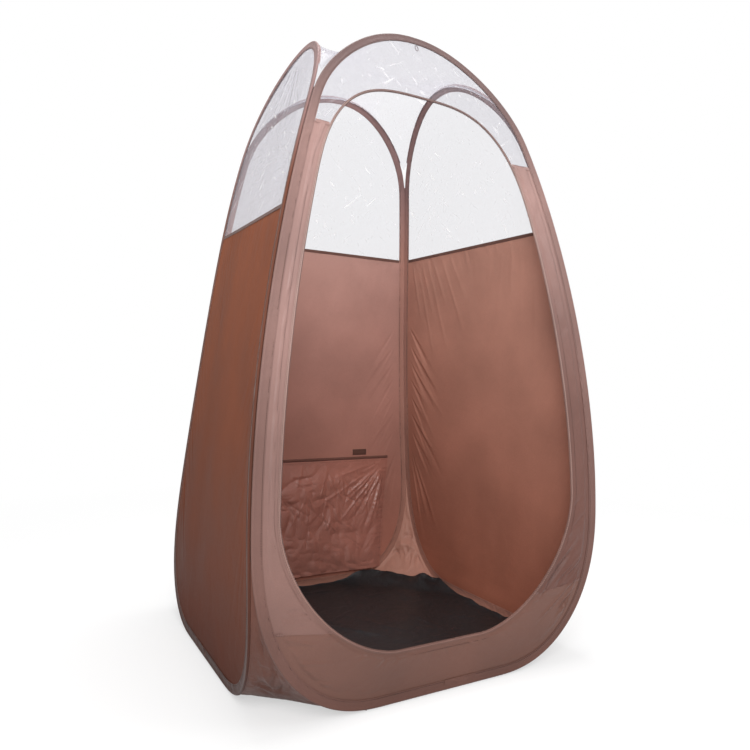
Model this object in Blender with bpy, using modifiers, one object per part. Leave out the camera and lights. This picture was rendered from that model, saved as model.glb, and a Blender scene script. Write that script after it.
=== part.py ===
"""Pop-up changing booth: four egg-shaped spring-wire hoops sewn together along their sides.

Each hoop runs in a folded fabric sleeve and carries one wall. The front wall has an open doorway,
the other three are fabric below and clear film above, and the back wall has a low flap.
Metres, +Z up, the origin on the ground under the middle, and the doorway facing -Y.
"""
import math
from collections import namedtuple

import bmesh
import bpy
import numpy as np
from mathutils import Matrix, Vector

# ---- Overall shape -------------------------------------------------------------------------
HEIGHT = 2.10
# Half the plan size of the booth at a few heights; a quartic is passed through them.
PLAN_HEIGHTS = (0.0, 0.30, 0.65, 1.05, 1.45, 1.80, 2.10)
PLAN_HALVES = (0.539, 0.561, 0.554, 0.522, 0.473, 0.397, 0.306)
PLAN = np.polyfit(PLAN_HEIGHTS, PLAN_HALVES, 4)
# The front hoop bows wider than the back hoop at mid height: share of x per metre of depth.
BOW = 0.777

Outline = namedtuple("Outline", "centre inset bottom corner_top corner_run corner_power "
                                "arch_foot top arch_power marks")
# marks: heights at which every outline has a point, so that panels, sleeves and seams agree.
GUSSET_MARK, LOW_SILL, SILL, HEADER = 0.236, 1.375, 1.44, 1.665
HOOP = Outline(0.0, 0.0, 0.0, 0.475, 0.343, 2.5, 1.741, HEIGHT, 2.2,
               (GUSSET_MARK, LOW_SILL, SILL, HEADER))
DOOR = Outline(-0.016, 0.093, 0.147, 0.53, 0.325, 1.82, 1.455, 1.834, 3.4,
               (0.234, 1.365, 1.43, 1.652))
# Segments of half an outline: up to the gusset mark, the low sill, the sill, the header, the top.
SEGMENTS = (8, 8, 1, 2, 7)
HALF_LOOP = sum(SEGMENTS)
LOOP = 2 * HALF_LOOP
GUSSET_STATION = SEGMENTS[0]
LOW_SILL_STATION = SEGMENTS[0] + SEGMENTS[1]
SILL_STATION = LOW_SILL_STATION + SEGMENTS[2]
HEADER_STATION = SILL_STATION + SEGMENTS[3]

# ---- Materials and clearances --------------------------------------------------------------
FABRIC, FILM, TAPE, BINDING = 0.0010, 0.0008, 0.0008, 0.0007
GAP = 0.0003
WIRE_RADIUS = 0.002
FERRULE_BORE, FERRULE_WALL, FERRULE_LENGTH = 0.0023, 0.0005, 0.040
POCKET_RADIUS = 0.0040
WIRE_INSET = 0.0070
SLEEVE_DEPTH = 0.024
PLY_OFFSET = FABRIC / 2 + GAP + TAPE / 2
PANEL_EDGE = WIRE_INSET + 0.004
PANEL_TURN = WIRE_INSET + SLEEVE_DEPTH + 0.002
CLEAR_OF_SLEEVE = POCKET_RADIUS + TAPE / 2 + 0.0024

# ---- Small pieces --------------------------------------------------------------------------
BINDING_WIDTH = 0.010
SEAM_WIDTH = 0.012
CORNER_LEG, CORNER_OFFSET = 0.028, 0.0054
CORNER_BOTTOM, CORNER_TOP = 0.42, 1.78
GUSSET_FOOT, GUSSET_HEAD = 4, GUSSET_STATION + 1
ROOF_CORNER = HEADER_STATION + 2
FLOOR_THICKNESS = 0.0015
FLAP_TOP, FLAP_BOTTOM = 0.520, 0.078
FLAP_HALF_TOP, FLAP_HALF_BOTTOM = 0.450, 0.385
OPENING_MARGIN = 0.038
STRIP_WIDTH, STRIP_THICKNESS = 0.020, 0.0010
# The back wall is made of flat facets, so the pieces on it stand off by their sag as well.
FACET_SAG = 0.0012
LOOP_STRIP_OFFSET = FABRIC / 2 + FACET_SAG + STRIP_THICKNESS / 2
HOOK_STRIP_OFFSET = LOOP_STRIP_OFFSET + STRIP_THICKNESS + GAP
FLAP_OFFSET = HOOK_STRIP_OFFSET + STRIP_THICKNESS / 2 + GAP + FABRIC / 2
TAB_CENTRE, TAB_BOTTOM, TAB_TOP = 0.290, 0.540, 0.566
TAB_WIDTH = 0.075
CORD_RADIUS = 0.0012

# ---- Fold axes -----------------------------------------------------------------------------
# Each leans in with its corner, through one plan position low down and another high up. It runs
# inside a corner that closes and outside a corner that opens, so the curved hoops swing clear.
AXIS_HEIGHTS = (0.40, 1.74)
LEFT_AXIS = ((-0.582, -0.546), (-0.420, -0.401))
RIGHT_AXIS = ((0.655, -0.596), (0.492, -0.448))
BACK_AXIS = ((-0.537, 0.596), (-0.406, 0.448))

FRONT, RIGHT, BACK, LEFT = range(4)
FACE_NAMES = ("front", "right", "back", "left")
# Corner n joins the low-across edge of face n to the high-across edge of face n - 1.
CORNER_NAMES = ("front_left", "front_right", "back_right", "back_left")


def clear_scene():
    for old in list(bpy.data.objects):
        bpy.data.objects.remove(old, do_unlink=True)


# ---- Materials -----------------------------------------------------------------------------
def material(name, colour, roughness, metallic=0.0, alpha=1.0):
    made = bpy.data.materials.new(name)
    made.use_nodes = True
    shader = made.node_tree.nodes["Principled BSDF"]
    shader.inputs["Base Color"].default_value = (*colour, 1.0)
    shader.inputs["Roughness"].default_value = roughness
    shader.inputs["Metallic"].default_value = metallic
    shader.inputs["Alpha"].default_value = alpha
    return made


def finishes():
    return {
        "wall": lambda name: material(name, (0.170, 0.070, 0.045), 0.60),
        "band": lambda name: material(name, (0.300, 0.165, 0.135), 0.55),
        "tape": lambda name: material(name, (0.230, 0.120, 0.100), 0.70),
        "film": lambda name: material(name, (0.850, 0.860, 0.870), 0.12, alpha=0.3),
        "floor": lambda name: material(name, (0.012, 0.012, 0.013), 0.75),
        "steel": lambda name: material(name, (0.500, 0.510, 0.520), 0.30, metallic=1.0),
        "strip": lambda name: material(name, (0.120, 0.055, 0.040), 0.90),
    }


FINISH = finishes()


def finished(thing, finish):
    thing.data.materials.append(FINISH[finish](thing.name + "_" + finish))
    return thing


# ---- Shape of the booth --------------------------------------------------------------------
def plan_half(z):
    return np.polyval(PLAN, z)


def plan_slope(z):
    return np.polyval(np.polyder(PLAN), z)


def bowed(points):
    """Widen the front and narrow the back at mid height."""
    moved = points.copy()
    level = np.clip(points[..., 2] / HEIGHT, 0.0, 1.0)
    moved[..., 0] *= 1.0 - BOW * points[..., 1] * level * (1.0 - level)
    return moved


def on_face(face, across, z, proud=0.0):
    """World points of one wall; proud is the distance outside its surface."""
    across, z, proud = np.broadcast_arrays(np.asarray(across, float), z, proud)
    slope = plan_slope(z)
    length = np.hypot(1.0, slope)
    x = across
    y = -plan_half(z) - proud / length
    height = z - proud * slope / length
    for _ in range(face):
        x, y = -y, x
    return bowed(np.stack([x, y, height], axis=-1))


def half_outline(shape, points=240):
    """Right half of an outline, from the middle of its foot to the middle of its top."""
    turn = np.linspace(0.0, math.pi / 2, points)
    reach = plan_half(shape.corner_top) - shape.inset
    flat = reach - shape.corner_run
    rise = shape.corner_top - shape.bottom
    corner_z = shape.bottom + rise * (1.0 - np.cos(turn) ** (2.0 / shape.corner_power))
    swing = np.sin(turn) ** (2.0 / shape.corner_power)
    corner_x = plan_half(corner_z) - shape.inset - shape.corner_run * (1.0 - swing)
    side_z = np.linspace(shape.corner_top, shape.arch_foot, points)[1:]
    side_x = plan_half(side_z) - shape.inset
    arch_z = shape.arch_foot + (shape.top - shape.arch_foot) * np.sin(turn) ** (2.0 / shape.arch_power)
    arch_x = (plan_half(arch_z) - shape.inset) * np.cos(turn) ** (2.0 / shape.arch_power)
    foot_x = np.linspace(0.0, min(flat, corner_x[0]), 20)[:-1]
    foot_z = np.full_like(foot_x, shape.bottom)
    x = np.concatenate([foot_x, corner_x, side_x, arch_x[1:]])
    z = np.concatenate([foot_z, corner_z, side_z, arch_z[1:]])
    x[-1] = 0.0
    return np.stack([x, z], axis=1)


def stations(shape):
    """Closed outline with HALF_LOOP segments a side, starting at the middle of the foot."""
    half = half_outline(shape)
    length = np.concatenate([[0.0], np.cumsum(np.hypot(*np.diff(half, axis=0).T))])
    marks = np.interp(shape.marks, half[:, 1], length)
    ends = [0.0, *marks, length[-1]]
    steps = [np.linspace(a, b, n, endpoint=False) for a, b, n in zip(ends, ends[1:], SEGMENTS)]
    at = np.concatenate([*steps, [length[-1]]])
    right = np.stack([np.interp(at, length, half[:, i]) for i in (0, 1)], axis=1)
    left = right[-2:0:-1] * (-1.0, 1.0)
    return np.concatenate([right, left]) + (shape.centre, 0.0)


def inset(loop, distance):
    """Move a closed outline inward, square to itself."""
    along = np.roll(loop, -1, axis=0) - np.roll(loop, 1, axis=0)
    along /= np.linalg.norm(along, axis=1, keepdims=True)
    inward = np.stack([-along[:, 1], along[:, 0]], axis=1)
    return loop + distance * inward


def closed(loop):
    return np.concatenate([loop, loop[:1]])


HOOP_LOOP = stations(HOOP)
DOOR_LOOP = stations(DOOR)


def face_rows(face, rows, proud=0.0):
    """World points of outlines given as (across, height) rows."""
    rows = np.asarray(rows)
    return on_face(face, rows[..., 0], rows[..., 1], proud)


def span(loop, first, last):
    """Stations first to last of a closed outline; first may be negative."""
    return loop[np.arange(first, last + 1) % len(loop)]


def between(start, end, steps):
    """Rows of points that step evenly from one row to another."""
    share = np.linspace(0.0, 1.0, steps + 1)[:, None, None]
    return start + (end - start) * share


# ---- Builders ------------------------------------------------------------------------------
def collect(name, data):
    made = bpy.data.objects.new(name, data)
    bpy.context.collection.objects.link(made)
    return made


def sheet(name, points, thickness, finish, flip=False):
    """A grid of points as a fabric sheet with its thickness centred on the grid."""
    points = np.asarray(points)
    rows, columns = points.shape[0] - 1, points.shape[1] - 1
    grid = bmesh.new()
    bmesh.ops.create_grid(grid, x_segments=columns, y_segments=rows, size=0.5)
    for vertex in grid.verts:
        column = round((vertex.co.x + 0.5) * columns)
        row = round((vertex.co.y + 0.5) * rows)
        vertex.co = points[row, column]
    bmesh.ops.remove_doubles(grid, verts=grid.verts, dist=1e-5)
    bmesh.ops.recalc_face_normals(grid, faces=grid.faces)
    data = bpy.data.meshes.new(name)
    grid.to_mesh(data)
    grid.free()
    made = finished(collect(name, data), finish)
    solid = made.modifiers.new("thickness", "SOLIDIFY")
    solid.thickness = thickness
    solid.offset = 0.0
    solid.use_even_offset = True
    return made


def cord(name, points, radius, finish, cyclic=False, resolution=1):
    data = bpy.data.curves.new(name, "CURVE")
    data.dimensions = "3D"
    data.bevel_depth = radius
    data.bevel_resolution = resolution
    data.use_fill_caps = not cyclic
    spline = data.splines.new("POLY")
    spline.points.add(len(points) - 1)
    for point, place in zip(spline.points, points):
        point.co = (*place, 1.0)
    spline.use_cyclic_u = cyclic
    return finished(collect(name, data), finish)


def folded_tape(name, loop, face, section, thickness, finish):
    """A tape folded round a closed edge; section holds (inset, proud) pairs."""
    rows = [face_rows(face, closed(inset(loop, inward)), proud) for inward, proud in section]
    return sheet(name, rows, thickness, finish)


# ---- Hoops ---------------------------------------------------------------------------------
def hoop_wire(face):
    path = face_rows(face, inset(HOOP_LOOP, WIRE_INSET))
    return cord(FACE_NAMES[face] + "_hoop_wire", path, WIRE_RADIUS, "steel", cyclic=True)


def ferrule(face):
    """Crimped tube over the meeting ends of the wire, in the middle of the foot."""
    middle = FERRULE_BORE + FERRULE_WALL / 2
    around = np.linspace(0.0, 2 * math.pi, 13)
    ring = np.stack([middle * np.cos(around), WIRE_INSET + middle * np.sin(around)], axis=1)
    ends = (-FERRULE_LENGTH / 2, FERRULE_LENGTH / 2)
    rows = [[on_face(face, end, WIRE_INSET) + flat_turn(face, out, z - WIRE_INSET) for out, z in ring]
            for end in ends]
    return sheet(FACE_NAMES[face] + "_ferrule", rows, FERRULE_WALL, "steel")


def flat_turn(face, out, up):
    """Offset of out metres away from the booth and up metres upward."""
    x, y = 0.0, -out
    for _ in range(face):
        x, y = -y, x
    return np.array([x, y, up])


def hoop_sleeve(face):
    radius = POCKET_RADIUS
    centre = WIRE_INSET
    section = [
        (centre + SLEEVE_DEPTH, PLY_OFFSET),
        (centre + 2.2 * radius, PLY_OFFSET),
        (centre + 0.5 * radius, 0.87 * radius),
        (centre - 0.6 * radius, 0.80 * radius),
        (centre - radius, 0.0),
        (centre - 0.6 * radius, -0.80 * radius),
        (centre + 0.5 * radius, -0.87 * radius),
        (centre + 2.2 * radius, -PLY_OFFSET),
        (centre + SLEEVE_DEPTH, -PLY_OFFSET),
    ]
    return folded_tape(FACE_NAMES[face] + "_hoop_sleeve", HOOP_LOOP, face, section, TAPE, "tape")


# ---- Walls ---------------------------------------------------------------------------------
def seam(face):
    """Station and height of a wall's film seam at its high-across edge; the left one is lower there."""
    return (LOW_SILL_STATION, LOW_SILL) if face == LEFT else (SILL_STATION, SILL)


def fan(first, last, heights, steps):
    """Rows from a hoop's edge in to a straight line: stations first to last on its outline."""
    edge = span(inset(HOOP_LOOP, PANEL_EDGE), first, last)
    turn = span(inset(HOOP_LOOP, PANEL_TURN), first, last)
    edge[[0, -1], 1] = heights
    turn[[0, -1], 1] = heights
    line = np.linspace(turn[0], turn[-1], len(turn))
    return np.concatenate([edge[None], between(turn, line, steps)])


def lower_wall(face):
    station, height = seam(face)
    rows = fan(-SILL_STATION, station, (SILL - GAP, height - GAP), 4)
    return sheet(FACE_NAMES[face] + "_wall", face_rows(face, rows), FABRIC, "wall")


def window(face):
    station, height = seam(face)
    rows = fan(station, LOOP - SILL_STATION, (height + GAP, SILL + GAP), 3)
    return sheet(FACE_NAMES[face] + "_window", face_rows(face, rows), FILM, "film")


def sill_tape(face):
    """Tape over the seam of fabric and film, on the outside."""
    station, height = seam(face)
    turn = inset(HOOP_LOOP, PANEL_TURN)
    line = np.linspace((turn[-SILL_STATION, 0], SILL), (turn[station, 0], height), 7)
    rows = [line + (0.0, shift) for shift in (-SEAM_WIDTH / 2, SEAM_WIDTH / 2)]
    return sheet(FACE_NAMES[face] + "_sill_tape", face_rows(face, rows, PLY_OFFSET), TAPE, "tape")


def flap_half(z):
    share = (z - FLAP_BOTTOM) / (FLAP_TOP - FLAP_BOTTOM)
    return FLAP_HALF_BOTTOM + share * (FLAP_HALF_TOP - FLAP_HALF_BOTTOM)


def opening_loop(count):
    """Outline of the back opening, with count points matched to the wall's outer edge."""
    low, high = FLAP_BOTTOM + OPENING_MARGIN, FLAP_TOP - OPENING_MARGIN
    corners = [(0.0, low), (flap_half(low) - OPENING_MARGIN, low),
               (flap_half(high) - OPENING_MARGIN, high), (0.0, high)]
    parts = (5, GUSSET_STATION + 1 - 5, count - GUSSET_STATION - 1)
    half = []
    for (x0, z0), (x1, z1), steps in zip(corners, corners[1:], parts):
        share = np.linspace(0.0, 1.0, steps, endpoint=False)
        half += [(x0 + (x1 - x0) * s, z0 + (z1 - z0) * s) for s in share]
    half.append(corners[-1])
    return np.array(half)


def upper_half(distance, height, steps):
    """Right half of the lower wall's edge, closed by a level line at one height."""
    side = inset(HOOP_LOOP, distance)[:SILL_STATION + 1].copy()
    side[-1, 1] = height
    return np.concatenate([side, np.linspace(side[-1], (0.0, height), steps + 1)[1:]])


def back_wall():
    """Lower back wall as a ring round its low opening."""
    edge = upper_half(PANEL_EDGE, SILL - GAP, 4)
    turn = upper_half(PANEL_TURN, SILL - SEAM_WIDTH / 2, 4)
    hole = opening_loop(len(edge) - 1)
    halves = [edge] + [turn + share * (hole - turn) for share in (0.0, 0.25, 0.5, 0.75, 0.92, 1.0)]
    rows = [np.concatenate([half, half[-2::-1] * (-1.0, 1.0)]) for half in halves]
    return sheet("back_wall", face_rows(BACK, rows), FABRIC, "wall")


# ---- Front ---------------------------------------------------------------------------------
def front_rows(first, last):
    """Rows from the hoop's edge in to the doorway's edge, for part of the way round."""
    outer = [span(inset(HOOP_LOOP, distance), first, last) for distance in (PANEL_EDGE, PANEL_TURN)]
    inner = [span(inset(DOOR_LOOP, -distance), first, last)
             for distance in (BINDING_WIDTH + 0.003, 0.002)]
    middle = (outer[1] + inner[0]) / 2
    rows = np.array([*outer, middle, *inner])
    for end, inside in ((0, 1), (-1, -2)):
        step = rows[:, inside] - rows[:, end]
        rows[:, end] += GAP * step / np.linalg.norm(step, axis=1, keepdims=True)
    return rows


def front_panel(name, first, last, thickness, finish):
    return sheet(name, face_rows(FRONT, front_rows(first, last)), thickness, finish)


def header_tape(name, station):
    """Tape over a seam of band and film, square across the front band."""
    outer = inset(HOOP_LOOP, PANEL_TURN)[station]
    inner = inset(DOOR_LOOP, -BINDING_WIDTH - 0.003)[station]
    along = (inner - outer) / np.linalg.norm(inner - outer)
    sideways = np.array([-along[1], along[0]]) * SEAM_WIDTH / 2
    rows = [[outer + sideways, inner + sideways], [outer - sideways, inner - sideways]]
    return sheet(name, face_rows(FRONT, rows, PLY_OFFSET), TAPE, "tape")


def doorway_binding():
    offset = FABRIC / 2 + GAP + BINDING / 2 + 0.0001
    section = [(-BINDING_WIDTH, offset), (-0.0012, offset), (-0.0002, 0.0),
               (-0.0012, -offset), (-BINDING_WIDTH, -offset)]
    return folded_tape("doorway_binding", DOOR_LOOP, FRONT, section, BINDING, "band")


def hang_loop():
    """Small cord loop below the front hoop's top, on the inside of its sleeve."""
    turn = np.linspace(0.0, 2 * math.pi, 12, endpoint=False)
    across = 0.006 * np.sin(turn)
    drop = inset(HOOP_LOOP, WIRE_INSET + SLEEVE_DEPTH)[HALF_LOOP, 1] - 0.012 + 0.012 * np.cos(turn)
    return cord("hang_loop", on_face(FRONT, across, drop, -0.004), CORD_RADIUS, "strip", cyclic=True)


# ---- Corners -------------------------------------------------------------------------------
def toward(start, end, distance):
    step = end - start
    return start + distance * step / np.linalg.norm(step, axis=-1, keepdims=True)


def corner_tape(corner):
    """Inner tape that hinges one hoop's sleeve to the next."""
    z = np.linspace(CORNER_BOTTOM, CORNER_TOP, 10)
    reach = plan_half(z)
    rows = [
        on_face(corner, -(reach - CORNER_LEG), z, -CORNER_OFFSET),
        on_face(corner, -(reach - CORNER_OFFSET), z, -CORNER_OFFSET),
        on_face((corner - 1) % 4, reach - CORNER_LEG, z, -CORNER_OFFSET),
    ]
    return sheet(CORNER_NAMES[corner] + "_corner_tape", rows, TAPE, "tape")


def gusset(corner):
    """Fabric that closes the rounded feet of two neighbouring hoops."""
    wire = inset(HOOP_LOOP, WIRE_INSET)
    picked = wire[GUSSET_FOOT:GUSSET_HEAD + 1]
    near = on_face(corner, -picked[:, 0], picked[:, 1])
    far = on_face((corner - 1) % 4, picked[:, 0], picked[:, 1])
    start = toward(near, far, CLEAR_OF_SLEEVE)
    end = toward(far, near, CLEAR_OF_SLEEVE)
    rows = between(start, end, 4)
    ground = rows[:, :1].copy()
    ground[..., 2] = 0.0012
    return sheet(CORNER_NAMES[corner] + "_gusset", np.concatenate([ground, rows], axis=1), FABRIC, "wall")


def roof():
    """Clear film stretched between the four arches, relaxed like a taut sheet."""
    wire = inset(HOOP_LOOP, WIRE_INSET)
    arch = wire[ROOF_CORNER:LOOP - ROOF_CORNER + 1]
    size = len(arch)
    edges = [on_face(face, arch[::-1, 0], arch[::-1, 1]) for face in range(4)]
    grid = np.zeros((size, size, 3))
    grid[0], grid[-1] = edges[FRONT], edges[BACK][::-1]
    grid[1:-1, -1], grid[1:-1, 0] = edges[RIGHT][1:-1], edges[LEFT][1:-1][::-1]
    ends = ((0, 0, FRONT, 0), (0, -1, RIGHT, 0), (-1, -1, BACK, 0), (-1, 0, LEFT, 0))
    for row, column, face, end in ends:
        grid[row, column] = (edges[face][end] + edges[face - 1][-1]) / 2
    grid[1:-1, 1:-1] = (grid[0].mean(axis=0) + grid[-1].mean(axis=0)) / 2
    for _ in range(400):
        inner = grid[:-2, 1:-1] + grid[2:, 1:-1] + grid[1:-1, :-2] + grid[1:-1, 2:]
        grid[1:-1, 1:-1] = inner / 4
    trimmed = grid.copy()
    trimmed[0, 1:-1] = toward(grid[0, 1:-1], grid[1, 1:-1], CLEAR_OF_SLEEVE)
    trimmed[-1, 1:-1] = toward(grid[-1, 1:-1], grid[-2, 1:-1], CLEAR_OF_SLEEVE)
    trimmed[1:-1, 0] = toward(grid[1:-1, 0], grid[1:-1, 1], CLEAR_OF_SLEEVE)
    trimmed[1:-1, -1] = toward(grid[1:-1, -1], grid[1:-1, -2], CLEAR_OF_SLEEVE)
    return sheet("roof_panel", trimmed, FILM, "film")


def floor_mat():
    """Flat mat whose edges stop just inside the sleeves and the gussets."""
    wire = inset(HOOP_LOOP, WIRE_INSET)
    along = wire[GUSSET_FOOT, 0] - 0.004
    out = plan_half(0.0) - POCKET_RADIUS - TAPE
    quarter = [(-along, -out), (along, -out)]
    outline = []
    for _ in range(4):
        outline += quarter
        quarter = [(-y, x) for x, y in quarter]
    data = bpy.data.curves.new("floor_mat", "CURVE")
    data.dimensions = "2D"
    data.fill_mode = "BOTH"
    data.extrude = FLOOR_THICKNESS / 2
    spline = data.splines.new("POLY")
    spline.points.add(len(outline) - 1)
    for point, (x, y) in zip(spline.points, outline):
        point.co = (x, y, 0.0, 1.0)
    spline.use_cyclic_u = True
    made = finished(collect("floor_mat", data), "floor")
    made.location = (0.0, 0.0, FLOOR_THICKNESS / 2)
    return made


# ---- Back flap -----------------------------------------------------------------------------
def flap():
    z = np.linspace(FLAP_TOP, FLAP_BOTTOM, 6)
    share = np.linspace(-1.0, 1.0, 9)
    rows = [on_face(BACK, share * flap_half(level), level, -FLAP_OFFSET) for level in z]
    return sheet("back_flap", rows, FABRIC, "wall")


def side_strip(name, side, offset, drop):
    """Hook or loop strip down one side of the flap's overlap with the wall."""
    z = np.linspace(FLAP_TOP - OPENING_MARGIN, FLAP_BOTTOM + drop, 6)
    outer = flap_half(z) - 0.006
    rows = [on_face(BACK, side * (outer - width), z, -offset) for width in (0.0, STRIP_WIDTH)]
    return sheet(name, rows, STRIP_THICKNESS, "strip")


def flap_hem():
    """Folded hem along the wall just above the flap's sewn edge."""
    across = np.linspace(-1.0, 1.0, 9) * flap_half(FLAP_TOP)
    levels = (FLAP_TOP + 0.003, FLAP_TOP + 0.016)
    rows = [on_face(BACK, across, level, -LOOP_STRIP_OFFSET) for level in levels]
    return sheet("flap_hem", rows, STRIP_THICKNESS, "band")


def flap_tab():
    """Tab above the hem that holds the rolled flap."""
    across = (-TAB_CENTRE - TAB_WIDTH / 2, -TAB_CENTRE + TAB_WIDTH / 2)
    rows = [on_face(BACK, across, level, -LOOP_STRIP_OFFSET) for level in (TAB_BOTTOM, TAB_TOP)]
    return sheet("flap_tab", rows, STRIP_THICKNESS, "tape")


# ---- Assembly ------------------------------------------------------------------------------
def pivot(name, place, direction, parent=None):
    """Empty on a joint's axis, with its own Z along the axis."""
    made = collect(name, None)
    made.empty_display_size = 0.1
    made.rotation_mode = "QUATERNION"
    made.matrix_world = Matrix.Translation(place) @ direction.to_track_quat("Z", "Y").to_matrix().to_4x4()
    bpy.context.view_layer.update()
    if parent:
        hang_on(parent, [made])
    return made


def fold_pivot(name, axis, parent=None):
    foot, head = (Vector((*plan, z)) for plan, z in zip(axis, AXIS_HEIGHTS))
    return pivot(name, foot, head - foot, parent)


def hang_on(empty, pieces):
    """Parent pieces to an empty and leave them where they are."""
    for piece in pieces:
        piece.parent = empty
        piece.matrix_parent_inverse = empty.matrix_world.inverted()
    bpy.context.view_layer.update()


def hoop_set(face):
    return [hoop_wire(face), ferrule(face), hoop_sleeve(face)]


def front_set():
    left_foot, left_head = LOOP - GUSSET_STATION, LOOP - HEADER_STATION
    return hoop_set(FRONT) + [
        front_panel("front_bottom_band", -GUSSET_STATION, GUSSET_STATION, FABRIC, "band"),
        front_panel("front_right_band", GUSSET_STATION, HEADER_STATION, FABRIC, "band"),
        front_panel("front_left_band", left_head, left_foot, FABRIC, "band"),
        front_panel("front_window", HEADER_STATION, left_head, FILM, "film"),
        header_tape("front_right_header_tape", HEADER_STATION),
        header_tape("front_left_header_tape", left_head),
        doorway_binding(),
        hang_loop(),
        roof(),
        floor_mat(),
    ]


def side_set(face):
    return hoop_set(face) + [lower_wall(face), window(face), sill_tape(face)]


def back_set():
    return hoop_set(BACK) + [
        back_wall(), window(BACK), sill_tape(BACK), flap_hem(), flap_tab(),
        side_strip("flap_loop_strip_left", 1, LOOP_STRIP_OFFSET, OPENING_MARGIN),
        side_strip("flap_loop_strip_right", -1, LOOP_STRIP_OFFSET, OPENING_MARGIN),
    ]


def flap_set():
    return [
        flap(),
        side_strip("flap_hook_strip_left", 1, HOOK_STRIP_OFFSET, OPENING_MARGIN),
        side_strip("flap_hook_strip_right", -1, HOOK_STRIP_OFFSET, OPENING_MARGIN),
    ]


def build():
    clear_scene()
    front_set()
    for corner in range(4):
        corner_tape(corner)
        gusset(corner)
    left = fold_pivot("left_wall_pivot", LEFT_AXIS)
    right = fold_pivot("right_wall_pivot", RIGHT_AXIS)
    back = fold_pivot("back_wall_pivot", BACK_AXIS, left)
    hinge = Vector(on_face(BACK, 0.0, FLAP_TOP, -FLAP_OFFSET))
    flap_pivot = pivot("flap_pivot", hinge, Vector((1.0, 0.0, 0.0)), back)
    hang_on(left, side_set(LEFT))
    hang_on(right, side_set(RIGHT))
    hang_on(back, back_set())
    hang_on(flap_pivot, flap_set())


build()
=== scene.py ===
"""Looks of the pop-up privacy tent: dense fabric, film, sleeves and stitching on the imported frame."""

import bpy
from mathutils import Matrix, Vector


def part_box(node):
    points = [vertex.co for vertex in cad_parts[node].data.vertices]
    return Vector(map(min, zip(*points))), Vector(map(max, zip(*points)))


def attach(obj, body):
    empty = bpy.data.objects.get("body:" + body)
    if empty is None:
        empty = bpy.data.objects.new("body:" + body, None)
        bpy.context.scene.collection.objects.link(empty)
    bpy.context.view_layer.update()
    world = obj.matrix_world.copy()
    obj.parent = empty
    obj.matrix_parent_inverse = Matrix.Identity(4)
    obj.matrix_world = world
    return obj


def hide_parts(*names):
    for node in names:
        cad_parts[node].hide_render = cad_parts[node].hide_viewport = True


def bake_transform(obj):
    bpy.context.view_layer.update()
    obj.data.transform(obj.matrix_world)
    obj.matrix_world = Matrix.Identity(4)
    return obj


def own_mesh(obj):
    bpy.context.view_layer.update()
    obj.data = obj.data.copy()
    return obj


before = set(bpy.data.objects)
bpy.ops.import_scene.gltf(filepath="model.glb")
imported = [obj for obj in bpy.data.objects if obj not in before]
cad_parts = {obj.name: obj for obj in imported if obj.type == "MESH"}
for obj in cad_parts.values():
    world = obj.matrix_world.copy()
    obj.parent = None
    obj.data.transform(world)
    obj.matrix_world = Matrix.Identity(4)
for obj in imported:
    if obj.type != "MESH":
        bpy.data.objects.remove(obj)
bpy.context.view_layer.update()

import math
from collections import namedtuple

import bmesh
import bpy
import numpy as np
from mathutils import Matrix, Vector

# ---- Shape of the booth: the CAD's own driving dimensions (metres) ----------------------------
HEIGHT = 2.10
PLAN_HEIGHTS = (0.0, 0.30, 0.65, 1.05, 1.45, 1.80, 2.10)
PLAN_HALVES = (0.539, 0.561, 0.554, 0.522, 0.473, 0.397, 0.306)
PLAN = np.polyfit(PLAN_HEIGHTS, PLAN_HALVES, 4)
BOW = 0.777
Outline = namedtuple("Outline", "centre inset bottom corner_top corner_run corner_power "
                                "arch_foot top arch_power marks")
GUSSET_MARK, LOW_SILL, SILL, HEADER = 0.236, 1.375, 1.44, 1.665
HOOP = Outline(0.0, 0.0, 0.0, 0.475, 0.343, 2.5, 1.741, HEIGHT, 2.2,
               (GUSSET_MARK, LOW_SILL, SILL, HEADER))
DOOR = Outline(-0.016, 0.093, 0.147, 0.53, 0.325, 1.82, 1.455, 1.834, 3.4,
               (0.234, 1.365, 1.43, 1.652))
# Segments of half an outline, between the marks: far finer than the CAD's.
SEGMENTS = (144, 180, 8, 42, 162)
HALF_LOOP = sum(SEGMENTS)
LOOP = 2 * HALF_LOOP
GUSSET_STATION, LOW_SILL_STATION, SILL_STATION, HEADER_STATION = (int(n) for n in np.cumsum(SEGMENTS)[:4])

FABRIC, FILM, TAPE = 0.0006, 0.0005, 0.0005
PLY_OFFSET = 0.0012
POCKET_RADIUS = 0.0040
WIRE_INSET = 0.0070
SLEEVE_DEPTH = 0.024
PANEL_EDGE = WIRE_INSET + 0.004
PANEL_TURN = WIRE_INSET + SLEEVE_DEPTH + 0.002
CLEAR_OF_SLEEVE = 0.0062
BINDING_WIDTH = 0.010
FLAP_TOP, FLAP_BOTTOM, FLAP_HEM = 0.520, 0.078, 0.046
FLAP_HALF_TOP, FLAP_HALF_BOTTOM = 0.450, 0.385
OPENING_MARGIN = 0.038
FLAP_OFFSET = 0.0055
GUSSET_TUCK = 0.0030

FRONT, RIGHT, BACK, LEFT = range(4)
FACES = ("front", "right", "back", "left")
CORNERS = ("front_left", "front_right", "back_right", "back_left")
OPEN_CORNER = CORNERS.index("back_right")


def plan_half(z):
    return np.polyval(PLAN, z)


def bowed(points):
    moved = points.copy()
    level = np.clip(points[..., 2] / HEIGHT, 0.0, 1.0)
    moved[..., 0] *= 1.0 - BOW * points[..., 1] * level * (1.0 - level)
    return moved


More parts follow.
